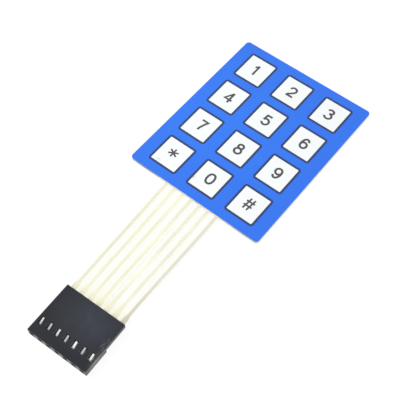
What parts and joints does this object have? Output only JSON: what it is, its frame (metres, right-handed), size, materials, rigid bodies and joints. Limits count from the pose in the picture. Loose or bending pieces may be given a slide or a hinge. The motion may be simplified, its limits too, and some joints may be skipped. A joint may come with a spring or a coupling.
{
  "type": "membrane keypad",
  "caption": "Thin adhesive-backed membrane keypad with a telephone key grid on a blue overlay, a printed film tail and a black socket connector for header pins.",
  "frame": {"origin": "centre of the pad's rear face, on the surface that the keypad lies on", "axes": "+X to the right of the key rows, +Y from the tail towards the top key row, +Z out of the key faces"},
  "size_m": [0.0418, 0.1035, 0.0025],
  "materials": {
    "liner_paper": "cream coated paper",
    "adhesive": "pale transfer adhesive",
    "circuit_film": "clear polyester film",
    "silver_ink": "printed silver conductor",
    "overlay_blue": "satin blue film",
    "print_white": "satin white print",
    "print_dark": "dark printed line",
    "housing_black": "fine moulded texture",
    "contact_tin": "bright tin plate"
  },
  "bodies": {
    "root": {"release_liner": "liner_paper", "rear_adhesive": "adhesive", "lower_circuit_film": "circuit_film", "upper_circuit_film": "circuit_film", "spacer": "circuit_film", "column_trace_1": "silver_ink", "column_trace_2": "silver_ink", "column_trace_3": "silver_ink", "row_trace_1": "silver_ink", "row_trace_2": "silver_ink", "row_trace_3": "silver_ink", "row_trace_4": "silver_ink", "overlay_adhesive": "adhesive", "graphic_overlay": "overlay_blue", "key_outlines": "print_dark", "key_face_1": "print_white", "key_face_2": "print_white", "key_face_3": "print_white", "key_face_4": "print_white", "key_face_5": "print_white", "key_face_6": "print_white", "key_face_7": "print_white", "key_face_8": "print_white", "key_face_9": "print_white", "key_face_star": "print_white", "key_face_0": "print_white", "key_face_hash": "print_white", "connector_housing": "housing_black", "contact_1": "contact_tin", "contact_2": "contact_tin", "contact_3": "contact_tin", "contact_4": "contact_tin", "contact_5": "contact_tin", "contact_6": "contact_tin", "contact_7": "contact_tin"}
  },
  "joints": []
}
